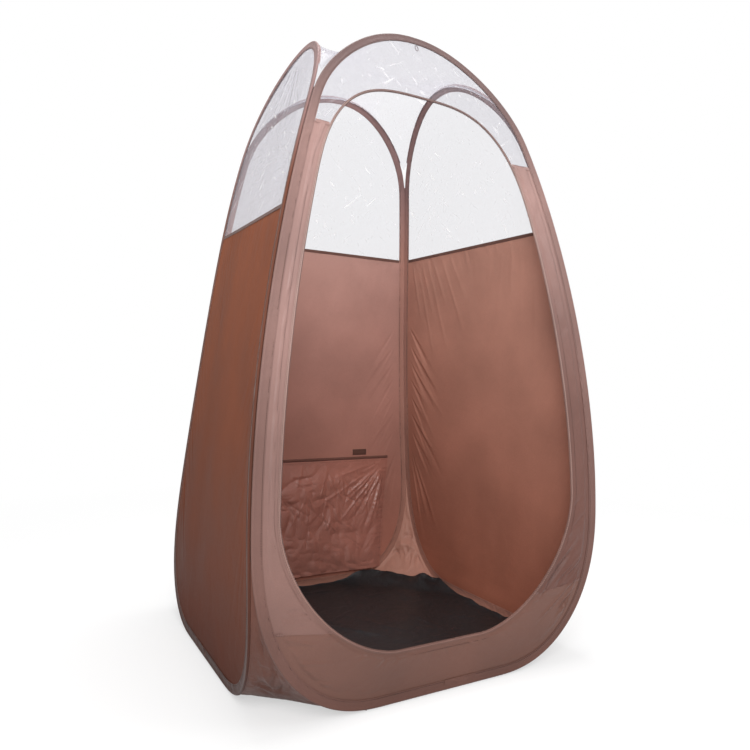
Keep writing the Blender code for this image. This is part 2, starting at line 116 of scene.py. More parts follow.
def on_face(face, across, z, proud=0.0):
    """World points of one wall; proud is the distance outside its surface."""
    across, z, proud = np.broadcast_arrays(np.asarray(across, float), z, proud)
    slope = np.polyval(np.polyder(PLAN), z)
    length = np.hypot(1.0, slope)
    x = across
    y = -plan_half(z) - proud / length
    height = z - proud * slope / length
    for _ in range(face):
        x, y = -y, x
    return bowed(np.stack([x, y, height], axis=-1))


def half_outline(shape, points=240):
    """Right half of an outline, from the middle of its foot to the middle of its top."""
    turn = np.linspace(0.0, math.pi / 2, points)
    reach = plan_half(shape.corner_top) - shape.inset
    rise = shape.corner_top - shape.bottom
    corner_z = shape.bottom + rise * (1.0 - np.cos(turn) ** (2.0 / shape.corner_power))
    swing = np.sin(turn) ** (2.0 / shape.corner_power)
    corner_x = plan_half(corner_z) - shape.inset - shape.corner_run * (1.0 - swing)
    side_z = np.linspace(shape.corner_top, shape.arch_foot, points)[1:]
    side_x = plan_half(side_z) - shape.inset
    arch_z = shape.arch_foot + (shape.top - shape.arch_foot) * np.sin(turn) ** (2.0 / shape.arch_power)
    arch_x = (plan_half(arch_z) - shape.inset) * np.cos(turn) ** (2.0 / shape.arch_power)
    foot_x = np.linspace(0.0, min(reach - shape.corner_run, corner_x[0]), 20)[:-1]
    foot_z = np.full_like(foot_x, shape.bottom)
    x = np.concatenate([foot_x, corner_x, side_x, arch_x[1:]])
    z = np.concatenate([foot_z, corner_z, side_z, arch_z[1:]])
    x[-1] = 0.0
    return np.stack([x, z], axis=1)


def stations(shape):
    """Closed outline with HALF_LOOP segments a side, starting at the middle of the foot."""
    half = half_outline(shape)
    length = np.concatenate([[0.0], np.cumsum(np.hypot(*np.diff(half, axis=0).T))])
    marks = np.interp(shape.marks, half[:, 1], length)
    ends = [0.0, *marks, length[-1]]
    steps = [np.linspace(a, b, n, endpoint=False) for a, b, n in zip(ends, ends[1:], SEGMENTS)]
    at = np.concatenate([*steps, [length[-1]]])
    right = np.stack([np.interp(at, length, half[:, i]) for i in (0, 1)], axis=1)
    left = right[-2:0:-1] * (-1.0, 1.0)
    return np.concatenate([right, left]) + (shape.centre, 0.0)


def inset(loop, distance):
    """Move a closed outline inward, square to itself; distance may be one value a station."""
    along = np.roll(loop, -2, axis=0) - np.roll(loop, 2, axis=0)
    along /= np.linalg.norm(along, axis=1, keepdims=True)
    inward = np.stack([-along[:, 1], along[:, 0]], axis=1)
    return loop + np.asarray(distance).reshape(-1, 1) * inward


def closed(loop):
    return np.concatenate([loop, loop[:1]])


def span(loop, first, last):
    return loop[np.arange(first, last + 1) % len(loop)]


HOOP_LOOP = stations(HOOP)
DOOR_LOOP = stations(DOOR)


def run_length(points):
    """Distance along a row of points."""
    return np.concatenate([[0.0], np.cumsum(np.linalg.norm(np.diff(points, axis=0), axis=1))])


def wall_half(z, distance=PANEL_EDGE):
    """Half width of a hoop's opening at a height, distance inside the hoop's edge."""
    half = inset(HOOP_LOOP, distance)[:HALF_LOOP + 1]
    return np.interp(z, np.maximum.accumulate(half[:, 1]), half[:, 0])


# ---- Random fields ---------------------------------------------------------------------------
def noise(a, b, seed):
    """Smooth random field of two coordinates, about -1 to 1, with cells one unit across."""
    table = np.random.default_rng(seed).uniform(-1.0, 1.0, (256, 256))
    a, b = np.broadcast_arrays(np.asarray(a, float), np.asarray(b, float))
    i, j = np.floor(a).astype(int), np.floor(b).astype(int)
    s, t = a - i, b - j
    s, t = (f * f * f * (f * (6.0 * f - 15.0) + 10.0) for f in (s, t))
    low = table[i % 256, j % 256] * (1 - s) + table[(i + 1) % 256, j % 256] * s
    high = table[i % 256, (j + 1) % 256] * (1 - s) + table[(i + 1) % 256, (j + 1) % 256] * s
    return low * (1 - t) + high * t


def creases(a, b, seed):
    """Thin raised lines where a random field crosses zero, 0 to 1."""
    return np.exp(-9.0 * np.abs(noise(a, b, seed)))


def step(value, low, high):
    share = np.clip((value - low) / (high - low), 0.0, 1.0)
    return share * share * (3.0 - 2.0 * share)


def ridges(across, z, lines):
    """Raised creases; each line is (across, z) of both ends, half width, height."""
    total = np.zeros(np.broadcast(across, z).shape)
    for x0, z0, x1, z1, width, height in lines:
        length = math.hypot(x1 - x0, z1 - z0)
        ux, uz = (x1 - x0) / length, (z1 - z0) / length
        along = (across - x0) * ux + (z - z0) * uz
        off = (z - z0) * ux - (across - x0) * uz
        taper = step(along, -0.1 * length, 0.25 * length) * (1.0 - step(along, 0.45 * length, 1.05 * length))
        spread = width * np.clip(0.55 + 0.45 * along / length, 0.3, 1.2)
        total = total + height * taper * np.exp(-np.abs(off / spread) ** 1.4)
    return total


def facets(a, b, size, height, seed):
    """Crumpled sheet: flat facets between sharp creases, at three scales."""
    a, b = a / size, b / size
    warp = 0.35 * noise(a * 1.3, b * 1.3, seed + 9)
    total = 0.0
    for k, (scale, share) in enumerate(((1.0, 0.58), (2.1, 0.28), (4.3, 0.14))):
        total = total + share * np.abs(noise((a + warp) * scale, (b - warp) * scale, seed + k))
    return height * total


def fan_lines(focus, angles, starts, lengths, widths, heights, count, seed):
    """Creases that spread from one point; each argument after the first is a (low, high) range."""
    draw = np.random.default_rng(seed)
    lines = []
    for k in range(count):
        angle = math.radians(np.interp((k + draw.uniform(0.2, 0.8)) / count, (0, 1), angles))
        near, length = draw.uniform(*starts), draw.uniform(*lengths)
        x0, z0 = focus[0] + near * math.cos(angle), focus[1] + near * math.sin(angle)
        height = draw.uniform(*heights) * (1.0 if k % 3 else -0.7)
        lines.append((x0, z0, x0 + length * math.cos(angle), z0 + length * math.sin(angle),
                      draw.uniform(*widths), height))
    return lines


def scattered_lines(low, high, angles, lengths, widths, heights, count, seed):
    """Creases strewn over a rectangle from low to high."""
    draw = np.random.default_rng(seed)
    lines = []
    for _ in range(count):
        angle, length = math.radians(draw.uniform(*angles)), draw.uniform(*lengths)
        x0, z0 = draw.uniform(low[0], high[0]), draw.uniform(low[1], high[1])
        lines.append((x0, z0, x0 + length * math.cos(angle), z0 + length * math.sin(angle),
                      draw.uniform(*widths), draw.uniform(*heights) * draw.choice((-1.0, 1.0))))
    return lines


def fan(across, z, focus, folds, reach, seed):
    """Folds that spread from one point and fade with distance."""
    dx, dz = across - focus[0], z - focus[1]
    radius = np.hypot(dx, dz)
    angle = np.arctan2(dz, dx)
    return noise(angle * folds, radius * 1.5, seed) * np.exp(-radius / reach) * step(radius, 0.0, 0.12)


# ---- Mesh builders ---------------------------------------------------------------------------
def piece(name, points, faces, paint):
    """A new object from points and faces, with one material."""
    data = bpy.data.meshes.new(name)
    data.from_pydata([tuple(point) for point in points], [], faces)
    data.materials.append(paint)
    made = bpy.data.objects.new(name, data)
    bpy.context.collection.objects.link(made)
    return made


def sheet(name, points, faces, thickness, paint, weld=True):
    """A smooth sheet, sharp at its open edges, with its thickness centred on the points."""
    made = piece(name, points, faces, paint)
    edit = bmesh.new()
    edit.from_mesh(made.data)
    if weld:
        bmesh.ops.remove_doubles(edit, verts=edit.verts, dist=1e-5)
        bmesh.ops.recalc_face_normals(edit, faces=edit.faces)
    for face in edit.faces:
        face.smooth = True
    for edge in edit.edges:
        edge.smooth = not edge.is_boundary
    edit.to_mesh(made.data)
    edit.free()
    solid = made.modifiers.new("thickness", "SOLIDIFY")
    solid.thickness = thickness
    solid.offset = 0.0
    return made


def surface(name, points, thickness, paint):
    """A sheet from rows of points."""
    points = np.asarray(points)
    rows, columns = points.shape[:2]
    index = np.arange(rows * columns).reshape(rows, columns)
    quads = np.stack([index[:-1, :-1], index[:-1, 1:], index[1:, 1:], index[1:, :-1]], axis=-1)
    return sheet(name, points.reshape(-1, 3), quads.reshape(-1, 4).tolist(), thickness, paint)


def stitch(name, paths, body, length=0.0045, pitch=0.0065, radius=0.0006):
    """Stitches that ride on a body: slim three-sided threads, pointed at both ends, along paths."""
    verts, faces = [], []
    ring = np.array([[0.0, 1.0], [0.87, -0.5], [-0.87, -0.5]]) * radius
    for path in paths:
        path = np.asarray(path)
        run = run_length(path)
        starts = np.arange(0.0, run[-1] - length, pitch)
        ends = [np.stack([np.interp(starts + shift, run, path[:, k]) for k in range(3)], axis=1)
                for shift in (0.0, length / 2, length)]
        along = ends[2] - ends[0]
        along /= np.linalg.norm(along, axis=1, keepdims=True)
        side = np.cross(along, (0.31, 0.52, 0.79))
        side /= np.linalg.norm(side, axis=1, keepdims=True)
        up = np.cross(side, along)
        for a, m, b, s, u in zip(ends[0], ends[1], ends[2], side, up):
            base = len(verts)
            verts += [a, *(m + s * p + u * q for p, q in ring), b]
            for k in range(3):
                n = (k + 1) % 3
                faces += [(base, base + 1 + k, base + 1 + n), (base + 4, base + 1 + n, base + 1 + k)]
    place(piece(name, verts, faces, THREAD), body)


# ---- Materials -------------------------------------------------------------------------------
def node(tree, kind, inputs=(), **settings):
    """A shader node; inputs maps a socket to a value or to another node's output."""
    made = tree.nodes.new("ShaderNode" + kind)
    for key, value in settings.items():
        setattr(made, key, value)
    for key, value in dict(inputs).items():
        if isinstance(value, bpy.types.NodeSocket):
            tree.links.new(value, made.inputs[key])
        else:
            made.inputs[key].default_value = value
    return made


FILM_HAZE, FILM_RIM = 0.10, 0.28
# The film's long glints spread downwards from a point at this height.
GLINT_SOURCE_HEIGHT = 2.35


def blank(name):
    made = bpy.data.materials.new(name)
    made.use_nodes = True
    made.node_tree.nodes.clear()
    return made, made.node_tree


def mix(tree, share, low, high):
    """Colour between two, each three numbers or a socket."""
    low, high = ((*value, 1.0) if isinstance(value, tuple) else value for value in (low, high))
    return node(tree, "Mix", {0: share, 6: low, 7: high}, data_type="RGBA").outputs[2]


def scaled(tree, value, low, high, to_low=0.0, to_high=1.0):
    return node(tree, "MapRange", {0: value, 1: low, 2: high, 3: to_low, 4: to_high}).outputs[0]


def combine(tree, operation, a, b):
    return node(tree, "Math", {0: a, 1: b}, operation=operation).outputs[0]


def cloud(tree, place_at, scale, detail, roughness=0.5, distortion=0.0):
    return node(tree, "TexNoise", {"Vector": place_at, "Scale": scale, "Detail": detail,
                                   "Roughness": roughness, "Distortion": distortion}).outputs[0]


def fabric(name, low, high, inner=None, crown=None, crown_from=1.60, roughness=0.5, shine=0.15,
           sheen=0.1, glow=0.18, crinkle=0.3, weave=0.15, curve=1.0):
    """Coated polyester, graded from low at the ground to high at the sill, as painted shade near the ground
    and painted sheen higher up; some light passes through.

    inner is the (low, high) pair for the inside, lighter by painted sheen and painted light, crown a colour
    near the booth's top that paints the light and shade falling there; a curve above 1 keeps the low, shaded
    colour further up.
    """
    made, tree = blank(name)
    coordinates = node(tree, "TexCoord")
    place = coordinates.outputs["Object"]
    height = node(tree, "SeparateXYZ", {0: place}).outputs["Z"]
    # Low to high with height: painted shade near the ground, painted sheen higher up.
    level = combine(tree, "POWER", scaled(tree, height, 0.0, 1.55), curve)
    colour = mix(tree, level, low, high)
    # Inside faces get the lighter inner pair: painted sheen and painted light inside the booth.
    if inner:
        flat = node(tree, "VectorMath", {0: place, 1: (1.0, 1.0, 0.0)}, operation="MULTIPLY").outputs[0]
        facing = node(tree, "VectorMath", {0: flat, 1: coordinates.outputs["Normal"]},
                      operation="DOT_PRODUCT").outputs["Value"]
        colour = mix(tree, scaled(tree, facing, 0.0, -0.01), colour, mix(tree, level, *inner))
    # Near the top the crown colour paints the light and shade that fall there.
    if crown:
        colour = mix(tree, scaled(tree, height, crown_from, crown_from + 0.3), colour, crown)
    patch = cloud(tree, place, 3.5, 4.0)
    grain = cloud(tree, place, 420.0, 2.0)
    tone = combine(tree, "MULTIPLY", scaled(tree, patch, 0.3, 0.7, 0.86, 1.10),
                   scaled(tree, grain, 0.3, 0.7, 0.93, 1.07))
    toned = node(tree, "HueSaturation", {"Value": tone, "Color": colour}).outputs[0]
    warp = woven(tree, place)
    crinkles = cloud(tree, place, 16.0, 5.0, 0.55, 0.8)
    coarse = node(tree, "Bump", {"Strength": crinkle, "Distance": 0.005, "Height": crinkles}).outputs[0]
    fine = node(tree, "Bump", {"Strength": weave, "Distance": 0.0005, "Height": warp,
                               "Normal": coarse}).outputs[0]
    skin = node(tree, "BsdfPrincipled", {
        "Base Color": toned, "Normal": fine, "Sheen Weight": sheen, "Sheen Roughness": 0.4,
        "Roughness": scaled(tree, patch, 0.3, 0.7, roughness - 0.06, roughness + 0.08),
        "Specular IOR Level": shine}).outputs[0]
    through = node(tree, "BsdfTranslucent", {"Color": toned, "Normal": fine}).outputs[0]
    both = node(tree, "MixShader", {0: glow, 1: skin, 2: through}).outputs[0]
    node(tree, "OutputMaterial", {"Surface": both})
    return made


def woven(tree, place):
    """Height of a plain weave: two crossing sets of fine threads, a little uneven."""
    sets = [node(tree, "TexWave", {"Vector": place, "Scale": 330.0, "Distortion": 0.6, "Detail": 1.0},
                 bands_direction=axis).outputs[1] for axis in ("DIAGONAL", "Z")]
    return combine(tree, "MAXIMUM", *sets)


def strokes(tree, place, scale, turn=(0.0, 0.0, 0.0)):
    """Sparse thin dashes: the high spots of a stretched noise field, 0 to 1."""
    turned = node(tree, "Mapping", {"Vector": place, "Rotation": turn}).outputs[0]
    stretched = node(tree, "Mapping", {"Vector": turned, "Scale": scale}).outputs[0]
    return scaled(tree, cloud(tree, stretched, 1.0, 1.0, distortion=0.3), 0.68, 0.78)


def clear_film(name):
    """Clear vinyl: a faint grey veil, milky at a glancing angle, with glints that spread from the top."""
    made, tree = blank(name)
    place = node(tree, "TexCoord").outputs["Object"]
    part = node(tree, "SeparateXYZ", {0: place}).outputs
    below = combine(tree, "SUBTRACT", GLINT_SOURCE_HEIGHT, part["Z"])
    angle = [combine(tree, "ARCTAN2", part[axis], below) for axis in "XY"]
    polar = node(tree, "CombineXYZ", {0: angle[0], 1: angle[1], 2: below}).outputs[0]
    # Glint mask: painted highlights, where the film is whiter and clearer in thin dashes.
    painted_glint = strokes(tree, polar, (62.0, 62.0, 9.0))
    for turn in ((0.7, 0.5, 0.0), (-0.6, -0.7, 0.0)):
        painted_glint = combine(tree, "MAXIMUM", painted_glint, strokes(tree, place, (10.0, 10.0, 85.0), turn))
    edge = node(tree, "LayerWeight", {"Blend": 0.5}).outputs["Facing"]
    rim = scaled(tree, edge, 0.55, 0.95, 0.0, FILM_RIM)
    haze = combine(tree, "ADD", scaled(tree, painted_glint, 0.0, 1.0, FILM_HAZE, 0.35), rim)
    tint = mix(tree, painted_glint, (0.66, 0.64, 0.70), (1.0, 1.0, 1.0))
    bump = node(tree, "Bump", {"Strength": 0.4, "Distance": 0.002, "Height": painted_glint}).outputs[0]
    veil = mix(tree, painted_glint, (0.955, 0.955, 0.96), (1.0, 1.0, 1.0))
    clear = node(tree, "BsdfTransparent", {"Color": veil}).outputs[0]
    lit = node(tree, "BsdfPrincipled", {"Base Color": tint, "Roughness": 0.18, "Specular IOR Level": 0.3,
                                        "Normal": bump}).outputs[0]
    passing = node(tree, "BsdfTranslucent", {"Color": tint, "Normal": bump}).outputs[0]
    skin = node(tree, "MixShader", {0: 0.5, 1: lit, 2: passing}).outputs[0]
    both = node(tree, "MixShader", {0: haze, 1: clear, 2: skin}).outputs[0]
    node(tree, "OutputMaterial", {"Surface": both})
    return made


def steel(name):
    made, tree = blank(name)
    place = node(tree, "TexCoord").outputs["Object"]
    grain = cloud(tree, place, 300.0, 3.0)
    skin = node(tree, "BsdfPrincipled", {
        "Base Color": mix(tree, grain, (0.32, 0.32, 0.33), (0.58, 0.58, 0.6)), "Metallic": 1.0,
        "Roughness": scaled(tree, grain, 0.3, 0.7, 0.22, 0.4)}).outputs[0]
    node(tree, "OutputMaterial", {"Surface": skin})
    return made


# Inside colours: the same fabric as outside, made lighter and pinker by painted sheen and painted light
# inside the booth; the back's has more painted sheen than the sides'.
BACK_INSIDE_WITH_SHEEN = ((0.400, 0.155, 0.108), (0.520, 0.305, 0.262))
SIDE_INSIDE_WITH_SHEEN = ((0.350, 0.125, 0.078), (0.540, 0.290, 0.225))
SLEEVE_INSIDE_WITH_SHEEN = ((0.360, 0.170, 0.125), (0.500, 0.265, 0.215))
BAND_INSIDE_WITH_SHEEN = ((0.360, 0.170, 0.125), (0.500, 0.300, 0.260))
# Outside colours, much darker at the ground than higher up: painted shade.
WALL_OUTSIDE = ((0.092, 0.029, 0.018), (0.315, 0.104, 0.053))
SLEEVE_OUTSIDE = ((0.058, 0.021, 0.015), (0.190, 0.072, 0.045))
# The back and side wall materials are copies that differ only in the painted sheen of their insides.
WALL = fabric("wall_fabric_back", *WALL_OUTSIDE, inner=BACK_INSIDE_WITH_SHEEN, shine=0.02, sheen=0.0)
SIDE_WALL = fabric("wall_fabric_side", *WALL_OUTSIDE, inner=SIDE_INSIDE_WITH_SHEEN, shine=0.02, sheen=0.0)
WALL_SLEEVE = fabric("wall_sleeve_fabric", *SLEEVE_OUTSIDE, inner=SLEEVE_INSIDE_WITH_SHEEN, crown=(0.310, 0.190, 0.180),
                     crown_from=1.46, shine=0.08, crinkle=0.5)
# Front bands, one fabric: lighter towards the top by painted sheen; the right band is a darker copy, painted
# shade, that keeps its low colour further up.
BAND = fabric("band_fabric", (0.128, 0.056, 0.041), (0.370, 0.222, 0.198), inner=BAND_INSIDE_WITH_SHEEN,
              roughness=0.42, shine=0.40, curve=0.85)
RIGHT_BAND = fabric("right_band_fabric", (0.118, 0.045, 0.032), (0.350, 0.200, 0.175), inner=BAND_INSIDE_WITH_SHEEN,
                    roughness=0.40, shine=0.45, curve=2.2)
BOTTOM_BAND = fabric("bottom_band_fabric", (0.118, 0.047, 0.031), (0.330, 0.180, 0.150), inner=BAND_INSIDE_WITH_SHEEN,
                     roughness=0.42, shine=0.40)
HEM = fabric("hem_fabric", (0.150, 0.062, 0.046), (0.200, 0.100, 0.080), roughness=0.6)
# The front sleeve's lighter, pinker colour is painted sheen; its crown, like the binding's, is darker as
# painted shade at the arch's top.
FRONT_SLEEVE = fabric("front_sleeve_fabric", (0.120, 0.053, 0.040), (0.290, 0.172, 0.152),
                      crown=(0.170, 0.108, 0.102), crinkle=0.5, shine=0.25)
BINDING = fabric("binding_fabric", (0.210, 0.108, 0.086), (0.500, 0.340, 0.305), crown=(0.200, 0.130, 0.120))
SEAM = fabric("seam_tape", (0.090, 0.038, 0.028), (0.150, 0.075, 0.060), roughness=0.7, glow=0.05)
# The flap inside the booth is a lighter copy of the wall fabric: painted light.
FLAP = fabric("flap_fabric", (0.370, 0.155, 0.118), (0.640, 0.260, 0.190), roughness=0.30, shine=0.5,
              crinkle=0.7)
MAT = fabric("floor_fabric", (0.0100, 0.0125, 0.0142), (0.013, 0.016, 0.018), shine=0.4, sheen=0.0,
             glow=0.0, roughness=0.42, crinkle=0.7)
# Gusset: darker low on the outside as painted shade, lighter on the inside as painted light.
GUSSET = fabric("gusset_fabric", (0.092, 0.033, 0.022), (0.230, 0.090, 0.060),
                inner=((0.470, 0.235, 0.175), (0.560, 0.280, 0.210)), crinkle=0.9, shine=0.3)
THREAD = fabric("thread", (0.040, 0.018, 0.014), (0.090, 0.050, 0.040), roughness=0.7, glow=0.0)
VELVET = fabric("hook_and_loop", (0.080, 0.032, 0.024), (0.090, 0.036, 0.026), roughness=0.9, weave=0.6)
CLEAR = clear_film("clear_film")
STEEL = steel("spring_steel")


def place(made, body, *nodes):
    """Ride a finished piece on a body and let it stand for its CAD nodes."""
    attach(made, body)
    if nodes:
        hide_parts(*nodes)
    return made


def bend(made, low, high, start, end, *nodes):
    """Bake a finished piece's transform into its mesh and let it stand for its CAD nodes."""
    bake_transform(made)
    if nodes:
        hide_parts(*nodes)


def repaint(node_name, paint):
    """Give a CAD node that stays in view its material."""
    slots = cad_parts[node_name].data.materials
    slots.clear()
    slots.append(paint)


# ---- Hoop sleeves ----------------------------------------------------------------------------
def sleeve_section():
    """(inset, proud) pairs from the inner ply's hem, round the wire, to the outer ply's hem."""
    turn = np.linspace(0.28 * math.pi, 1.72 * math.pi, 11)
    round_wire = [(WIRE_INSET + POCKET_RADIUS * math.cos(t), -POCKET_RADIUS * math.sin(t)) for t in turn]
    inner = [(WIRE_INSET + depth, PLY_OFFSET) for depth in (SLEEVE_DEPTH, 0.018, 0.012, 0.008)]
    outer = [(depth, -proud) for depth, proud in inner[::-1]]
    pairs = inner + [(depth, -proud) for depth, proud in round_wire] + outer
    return np.array(pairs)


def sleeve(face):
    section = sleeve_section()
    run = run_length(on_face(face, *closed(inset(HOOP_LOOP, WIRE_INSET)).T))
    rows = []
    for depth, proud in section:
        path = closed(inset(HOOP_LOOP, depth))
        side = math.copysign(1.0, proud) if proud else 1.0
        slack = step(depth, WIRE_INSET, WIRE_INSET + 0.008)
        twist = noise((run + side * depth * 1.3) / 0.014, depth / 0.03, 10 + face)
        twist = twist * step(noise(run / 0.22, side * 5.0, 30 + face), -0.35, 0.35)
        long = noise(run / 0.09, depth / 0.05, 20 + face)
        swell = (0.0026 * twist + 0.0008 * long) * slack + 0.0002 * twist
        hem = 1.0 - 0.7 * step(depth, WIRE_INSET + 0.017, WIRE_INSET + SLEEVE_DEPTH)
        rows.append(on_face(face, path[:, 0], path[:, 1], proud + side * np.abs(swell) * hem))
    paint = FRONT_SLEEVE if face == FRONT else WALL_SLEEVE
    made = surface(FACES[face] + "_sleeve_cloth", rows, TAPE, paint)
    place(made, FACES[face], FACES[face] + "_hoop_sleeve")
    # Thick dark stitches at the sleeve's hem: real stitching, thickened to paint the shade in the gap where
    # the fabric turns into the sleeve.
    hem = closed(inset(HOOP_LOOP, WIRE_INSET + SLEEVE_DEPTH - 0.004))
    lines = [on_face(face, *hem.T, side * (PLY_OFFSET + 0.0006)) for side in (1, -1)]
    stitch(FACES[face] + "_sleeve_stitches_and_hem_shade", lines, FACES[face], length=0.0054, pitch=0.0062,
           radius=0.0014)


# ---- Walls -----------------------------------------------------------------------------------
def seam_height(face, share):
    """Height of a wall's film seam; share runs -1 to 1 across it, and the left one drops forwards."""
    drop = (SILL - LOW_SILL) * (0.5 + 0.5 * share) if face == LEFT else 0.0
    return SILL - drop * np.ones_like(share)


# How strongly each wall's folds show at its positive and its negative side.
FOLD_STRENGTH = {RIGHT: (1.0, 0.4), BACK: (0.6, 0.25), LEFT: (0.2, 0.4)}


def corner_folds(face):
    """Folds that hang from a wall's seam and pull down from its sides, strongest at its rear edge."""
    lines = []
    for side, strength in zip((1.0, -1.0), FOLD_STRENGTH[face]):
        seed = 900 + 40 * face + (40 if side > 0 else 0)
        turn = 180.0 if side > 0 else 0.0

        def family(focus, low, high, lengths, widths, height, count, shift):
            angles = (turn + low * side, turn + high * side)
            heights = (0.45 * height * strength, height * strength)
            return fan_lines((side * focus[0], focus[1]), angles, (0.0, 0.05), lengths, widths, heights,
                             count, seed + shift)

        for k, start in enumerate((0.41, 0.375, 0.34, 0.30, 0.26, 0.20, 0.14)):
            reach = (0.35, 0.60) if k % 2 else (0.16, 0.30)
            lines += family((start, SILL), 78.0 - 2 * k, 86.0 - k, reach, (0.007, 0.015), 0.0055, 1, k)
        for k, level in enumerate((1.16, 1.08, 1.00, 0.92, 0.84, 0.76, 0.68)):
            lines += family((0.49 + 0.004 * k, level), 46.0, 62.0, (0.14, 0.40), (0.004, 0.010), 0.0050,
                            4, 10 + k)
        lines += family((0.535, 0.62), 60.0, 80.0, (0.28, 0.52), (0.006, 0.013), 0.0065, 7, 19)
    return lines


def wall_wrinkles(face, across, z, edge, seam_z):
    """Height of a wall's folds; edge is the distance from the hoop's edge."""
    calm = step(edge, 0.032, 0.10) * step(seam_z - z, 0.0, 0.05)
    seed = 100 + 10 * face
    sag = 0.006 * noise(across * 2.2, z * 1.4, seed)
    soft = 0.0015 * noise(across * 9.0, z * 3.0, seed + 1)
    folds = ridges(across, z, corner_folds(face))
    near_sleeve = np.exp(-edge / 0.05) * step(edge, 0.03, 0.045)
    pucker = 0.0016 * noise(z / 0.018, edge / 0.15, seed + 2) * near_sleeve
    near_seam = np.exp(-(seam_z - z) / 0.07) * step(seam_z - z, 0.0, 0.02)
    hang = noise(across / 0.016, z / 0.25, seed + 3) * near_seam
    return (sag + soft + folds) * calm + (pucker + 0.0022 * hang) * step(edge, 0.03, 0.06)


def bunched(columns):
    """Shares -1 to 1 across a wall, closer together at its edges, where the puckers are."""
    turn = np.linspace(-1.0, 1.0, columns + 1) * math.pi / 2 * 0.9
    return (np.sin(turn) / math.sin(math.pi / 2 * 0.9))[None, :]


def lower_wall(face):
    share = bunched(240)
    level = np.linspace(0.0, 1.0, 281)[:, None] ** 1.1
    seam_z = seam_height(face, share) - 0.0003
    z = PANEL_EDGE + (seam_z - PANEL_EDGE) * level
    half = wall_half(z)
    across = share * half
    edge = np.minimum(PANEL_EDGE + half - np.abs(across), z)
    proud = wall_wrinkles(face, across, z, edge, seam_z)
    made = surface(FACES[face] + "_wall_cloth", on_face(face, across, z, proud), FABRIC, SIDE_WALL)
    place(made, FACES[face], FACES[face] + "_wall")


def window_wrinkles(face, across, z, edge):
    seed = 300 + 10 * face
    calm = step(edge, 0.030, 0.09) * step(z - SILL, 0.0, 0.05)
    billow = 0.006 * noise(across * 3.0, z * 3.5, seed)
    lines = fan_lines((0.0, 2.12), (-125.0, -55.0), (0.06, 0.30), (0.10, 0.35), (0.003, 0.006),
                      (0.002, 0.004), 26, seed + 1)
    lines += scattered_lines((-0.35, 1.48), (0.35, 1.80), (30.0, 150.0), (0.05, 0.16), (0.003, 0.005),
                             (0.0015, 0.003), 30, seed + 2)
    return (billow + ridges(across, z, lines)) * calm


def window(face):
    top = HEIGHT - PANEL_EDGE
    share = bunched(120)
    level = np.sin(np.linspace(0.0, math.pi / 2, 101))[:, None]
    low = seam_height(face, share) + 0.0003
    z = low + (top - low) * level
    half = wall_half(z)
    across = share * half
    edge = PANEL_EDGE + np.minimum(half - np.abs(across), top - z)
    proud = window_wrinkles(face, across, z, edge)
    made = surface(FACES[face] + "_window_film", on_face(face, across, z, proud), FILM, CLEAR)
    place(made, FACES[face], FACES[face] + "_window")


def sill_tape(face):
    """Dark tape over the seam of fabric and film, inside and out, with stitch lines."""
    share = np.linspace(-1.0, 1.0, 161)
    line = seam_height(face, share)
    across = share * wall_half(line, PANEL_TURN)
    for side, label in ((1.0, "outer"), (-1.0, "inner")):
        rows = []
        for shift in np.linspace(-0.006, 0.006, 5):
            proud = 0.0016 + 0.0004 * noise(across / 0.01, shift, 70)
            rows.append(on_face(face, across, line + shift, side * proud))
        made = surface(FACES[face] + "_sill_tape_" + label, rows, TAPE, SEAM)
        place(made, FACES[face], *([FACES[face] + "_sill_tape"] if side > 0 else []))
    lines = [on_face(face, across, line + shift, side * 0.0025) for shift in (-0.0045, 0.0045)
             for side in (1, -1)]
    stitch(FACES[face] + "_sill_stitches", lines, FACES[face])


# ---- Back wall with its opening --------------------------------------------------------------
def flap_half(z):
    share = (z - FLAP_BOTTOM) / (FLAP_TOP - FLAP_BOTTOM)
    return FLAP_HALF_BOTTOM + share * (FLAP_HALF_TOP - FLAP_HALF_BOTTOM)


def back_wall():
    """The back wall in one sheet, ring-wise round its opening."""
    edge = inset(HOOP_LOOP, PANEL_EDGE)[:SILL_STATION + 1].copy()
    edge[-1, 1] = SILL - 0.0003
    line = np.linspace(edge[-1], (0.0, SILL - 0.0003), 41)[1:]
    outer = np.concatenate([edge, line])
    low, high = FLAP_BOTTOM + OPENING_MARGIN, FLAP_TOP - OPENING_MARGIN
    corners = [(0.0, low), (flap_half(low) - OPENING_MARGIN, low),
               (flap_half(high) - OPENING_MARGIN, high), (0.0, high)]
    parts = (90, 60, len(outer) - 151)
    hole = [np.linspace(a, b, n, endpoint=False) for a, b, n in zip(corners, corners[1:], parts)]
    hole = np.concatenate([*hole, [corners[-1]]])
    share = np.concatenate([[0.0, 0.03, 0.06], np.linspace(0.1, 1.0, 46)])[:, None, None]
    half = outer[None] + share * (hole - outer)[None]
    grid = np.concatenate([half, half[:, -2::-1] * (-1.0, 1.0)], axis=1)
    across, z = grid[..., 0], grid[..., 1]
    edge_gap = np.minimum(wall_half(z, 0.0) - np.abs(across), z)
    calm_hole = 1.0 - step(share[..., 0], 0.82, 1.0)
    proud = wall_wrinkles(BACK, across, z, edge_gap, SILL) * calm_hole
    made = surface("back_wall_cloth", on_face(BACK, across, z, proud), FABRIC, WALL)
    place(made, "back", "back_wall")
    rim = closed(np.concatenate([hole, hole[-2:0:-1] * (-1.0, 1.0)]))
    lines = [on_face(BACK, rim[:, 0] * 1.02, rim[:, 1], side * 0.0009) for side in (1, -1)]
    stitch("back_opening_stitches", lines, "back")


